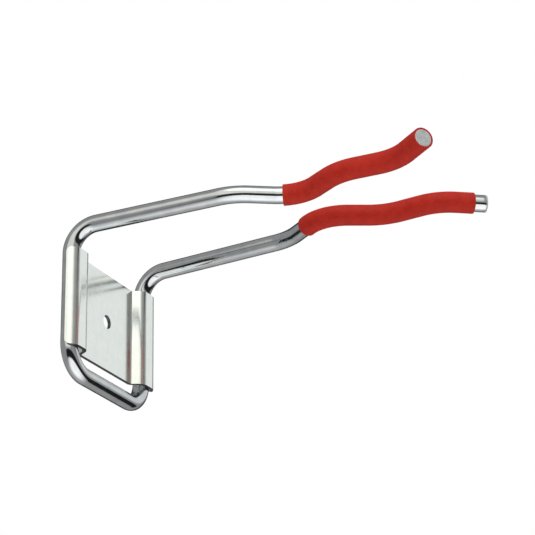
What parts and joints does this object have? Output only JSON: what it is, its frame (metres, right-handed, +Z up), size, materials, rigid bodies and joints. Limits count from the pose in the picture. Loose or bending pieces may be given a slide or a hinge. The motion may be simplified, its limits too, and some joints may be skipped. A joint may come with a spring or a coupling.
{
  "type": "bicycle wall rack",
  "caption": "Wall rack for hanging a bicycle: a bent steel tube with two wavy, sleeved arms, held to the wall by a hooked steel plate that clamps its uprights.",
  "frame": {"origin": "centre of the screw hole on the back of the clamp plate", "axes": "+X to the right facing the wall, +Y into the wall, +Z up; the arms reach out along -Y"},
  "size_m": [0.1839, 0.4185, 0.176],
  "materials": {
    "zinc_plate": "bright zinc plated pressed steel",
    "zinc_tube": "bright zinc plated steel tube",
    "red_sleeve": "satin red soft vinyl",
    "grey_plug": "matt grey moulded plastic"
  },
  "bodies": {
    "bracket": {"clamp_plate": "zinc_plate"},
    "frame": {"tube_frame": "zinc_tube", "left_sleeve": "red_sleeve", "right_sleeve": "red_sleeve", "left_end_plug": "grey_plug", "right_end_plug": "grey_plug"}
  },
  "joints": [
    {"name": "frame_lift", "type": "slide", "parent": "bracket", "child": "frame", "axis": [0, 0, 1], "range_m": [0, 0.008]}
  ]
}
